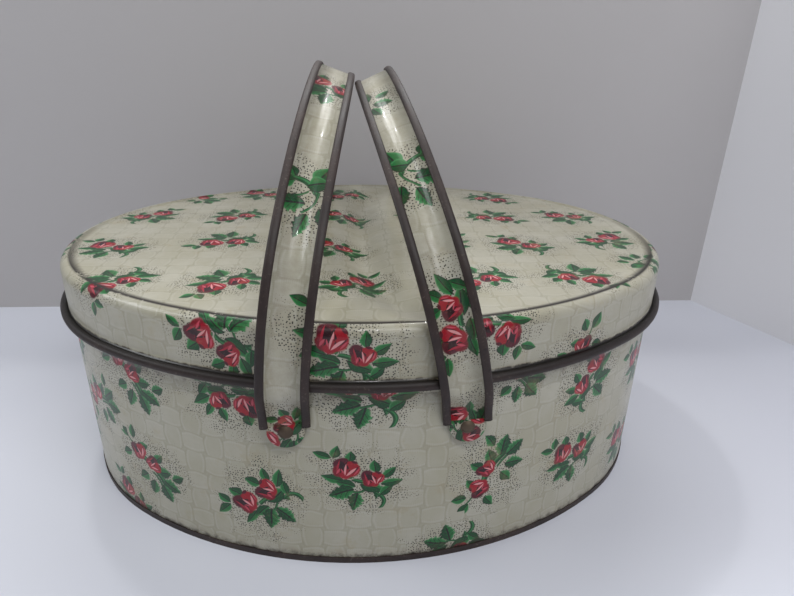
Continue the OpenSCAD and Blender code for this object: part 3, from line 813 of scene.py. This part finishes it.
# Here x is towards the box's middle and y runs from the front tab over the crown to the rear tab.
LEFT_SPRIGS = [
    (-1.0, -1, 70, 0.92, 1, 0), (17.5, 44, 0, 1.0, 1, 0), (2.5, 92, 0, 1.0, 1, 2), (0.5, 155, 4, 1.0, 1, 0),
    (-3, 208, 80, 1.0, 1, 1), (2, 254, 180, 1.0, -1, 0), (-1, 302, 180, 1.0, 1, 2), (1, 346, 200, 0.95, 1, 1),
    (1, 390, -70, 0.92, 1, 0),
]
RIGHT_SPRIGS = [
    (-1.0, -1, 70, 0.92, 1, 0), (2, 46, 100, 0.95, 1, 1), (-2, 96, 0, 1.0, -1, 2), (2, 146, 20, 1.0, 1, 0),
    (9, 240, 180, 0.9, 1, 2), (1.5, 287, 184, 1.0, -1, 2), (-1.5, 343, 288, 1.0, 1, 0),
    (0.5, 390, -100, 0.92, -1, 0),
]


def half_course():
    """The strap's middle line from a pivot to the crown: distance from the middle plane, and height."""
    rows = []
    for v in np.linspace(HEM_START, LEG, 24):
        t = min(1, max(0, (v - STEP_START) / (STEP_END - STEP_START)))
        rows.append((STRAP_LOW + (STRAP_HIGH - STRAP_LOW) * t * t * (3 - 2 * t), v))
    rise = ARCH_RISE - LEG
    crown_r = (STRAP_HIGH ** 2 - 2 * STRAP_HIGH * CORNER_R + rise ** 2) / (2 * (rise - CORNER_R))
    drop = crown_r - rise
    turn = math.atan2(drop, STRAP_HIGH - CORNER_R)
    for a in np.linspace(0, turn, 28)[1:]:
        rows.append((STRAP_HIGH - CORNER_R + CORNER_R * math.cos(a), LEG + CORNER_R * math.sin(a)))
    for a in np.linspace(turn, math.pi / 2, 30)[1:]:
        rows.append((crown_r * math.cos(a), LEG - drop + crown_r * math.sin(a)))
    return rows


def strap_section():
    """Across the strap, a flattened hem at each edge: across, and outwards."""
    join = math.degrees(math.asin((STRAP_T - HEM_B) / HEM_B))
    steps = (270 - join) * np.arange(HEM_POINTS + 1) / HEM_POINTS
    return [(middle + HEM_A * math.cos(a), HEM_B + HEM_B * math.sin(a))
            for middle, start in ((HEM_IN, -90), (-HEM_IN, join)) for a in np.radians(start + steps)]


def handle(name, body, node, sx, rows):
    half = half_course()
    full = [(-o, v) for o, v in half] + [(o, v) for o, v in reversed(half[:-1])]
    course = np.array([(CROWN_IN * (v / ARCH_RISE) ** LEAN_GROWTH, y, v) for y, v in full])
    n = len(course)
    way = np.array([course[min(k + 1, n - 1)] - course[max(k - 1, 0)] for k in range(n)])
    way /= np.linalg.norm(way, axis=1)[:, None]
    along = np.concatenate([[0], np.cumsum(np.linalg.norm(np.diff(course, axis=0), axis=1))]) + HEM_START
    section = strap_section()
    m = len(section)
    verts = []
    for k in range(n):
        lean = math.radians(CROWN_LEAN) * (course[k, 2] / ARCH_RISE) ** TWIST
        level = np.array([math.cos(lean), 0, -math.sin(lean)])
        side = level - way[k] * (level @ way[k])
        side /= np.linalg.norm(side)
        out = np.cross(side, way[k])
        verts += [course[k] + side * a + out * b for a, b in section]
    skin = Skin()

    def put(face, kind, flats):
        flats = np.array(flats, dtype=float)
        layers = {"ground": with_zero(flats + STRAP_GROUND + STRAP_GROUND_STEP * sx)}
        if kind == PRINTED:
            layers["sprig"], _ = nearest_sprig(flats[None], rows, reach=STRAP_SPRIG_REACH)
            # Browner next to each hem: partly grime and partly painted shade in the corner where the web meets
            # the hem.
            dirt_and_shade = 0.3 * np.clip(1 - (HEM_IN - HEM_A - np.abs(flats[:, 0])) / 2.2, 0, 1)
            layers["wear_and_shade"] = np.column_stack([0 * dirt_and_shade, dirt_and_shade, 0 * dirt_and_shade])
        skin.add([face], kind, **layers)

    for k in range(n - 1):
        a, b = k * m, (k + 1) * m
        for j in range(m):
            w = (j + 1) % m
            kind = PRINTED if j == HEM_POINTS else INNER if j == m - 1 else ENAMELLED
            put([a + j, b + j, b + w, a + w], kind,
                [(section[i][0], along[h]) for i, h in ((j, k), (j, k + 1), (w, k + 1), (w, k))])
    for start, flip in ((0, False), ((n - 1) * m, True)):
        for cap in (range(HEM_POINTS + 1), range(HEM_POINTS + 1, m)):
            cap = [start + c for c in cap]
            put(cap[::-1] if flip else cap, ENAMELLED, [(0, 0)] * len(cap))

    # The round ends: one flat disc each, drawn in to the strap between its hems.
    outline = [(TAB_R * math.cos(a), TAB_R * math.sin(a)) for a in np.radians(np.linspace(180, 360, 33))]
    outline = [(-TAB_NECK, TAB_LAP)] + outline + [(TAB_NECK, TAB_LAP)]
    q = len(outline)
    for end in (-1, 1):
        start = len(verts)
        flats = [(a, v if end < 0 else along[-1] + HEM_START - v) for a, v in outline]
        for thick, inset in TAB_LEVELS:
            for a, v in outline:
                keep = 1 - inset / math.hypot(a, v)
                verts.append(np.array([a * keep, end * (STRAP_LOW + thick), v * keep]))
        for a, b in ((start, start + q), (start + q, start + 2 * q)):
            for c in range(q):
                d = (c + 1) % q
                face = [a + c, a + d, b + d, b + c]
                put(face if end < 0 else face[::-1], PRINTED, [flats[c]] * 4)
        front, back = [start + 2 * q + c for c in range(q)], [start + c for c in range(q)]
        put(front if end < 0 else front[::-1], PRINTED, flats)
        put(back[::-1] if end < 0 else back, INNER, flats)

    verts, tip = np.array(verts), math.radians(TIP * sx)
    x = verts[:, 0] * math.cos(tip) + verts[:, 2] * math.sin(tip) - PIVOT_X
    z = -verts[:, 0] * math.sin(tip) + verts[:, 2] * math.cos(tip) + PIVOT_Z
    verts = np.column_stack([-sx * x, -sx * verts[:, 1], z])
    build(name, body, verts, skin, [node])


handle("left_strap", "left_handle", "left_handle", -1, LEFT_SPRIGS)
handle("right_strap", "right_handle", "right_handle", 1, RIGHT_SPRIGS)


# ---- The pieces that stay as packed: their materials ----

PACKED = {"bottom_plate": SHELL_MATERIALS[ENAMELLED], "rivet": RIVET_STEEL, "washer": SHELL_MATERIALS[INNER]}
for node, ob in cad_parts.items():
    for word, mat in PACKED.items():
        if word in node:
            for held in ob.material_slots:
                held.material = mat


# ---- Stage ----

FLOOR = [(-2, -2, 0), (2, -2, 0), (2, 0.9, 0), (-2, 0.9, 0)]
BACKDROP_FEET, BACKDROP_HEIGHT = [(-1.6, 0.168), (0.283, 0.148), (0.511, -0.45)], 0.36


def stage_sheet(name, corners, near, far):
    """Pale and matt towards the tin and clear on the other side, so that the tin shows from all round."""
    mat, net = new_material("stage_" + name)
    tone = net.mix(net.noise(net.object_place(), 6, 2.0, 0.5), near, far)
    surface = net.add("ShaderNodeBsdfPrincipled", {"Base Color": tone, "Roughness": 0.75})
    clear = net.add("ShaderNodeBsdfTransparent")
    back = net.add("ShaderNodeNewGeometry").outputs["Backfacing"]
    both = net.add("ShaderNodeMixShader", [back, surface.outputs[0], clear.outputs[0]])
    net.add("ShaderNodeOutputMaterial", [both.outputs[0]])
    mesh = bpy.data.meshes.new(name)
    mesh.from_pydata(corners, [], [[0, 1, 2, 3]])
    mesh.materials.append(mat)
    ob = link_new(name, mesh)


stage_sheet("floor", FLOOR, srgb(212, 214, 222), srgb(206, 208, 218))
for name, a, b, colour in (("backdrop", *BACKDROP_FEET[:2], srgb(187, 184, 184)),
                           ("backdrop_side", *BACKDROP_FEET[1:], srgb(232, 231, 234))):
    stage_sheet(name, [(*a, 0), (*b, 0), (*b, BACKDROP_HEIGHT), (*a, BACKDROP_HEIGHT)], colour, colour)
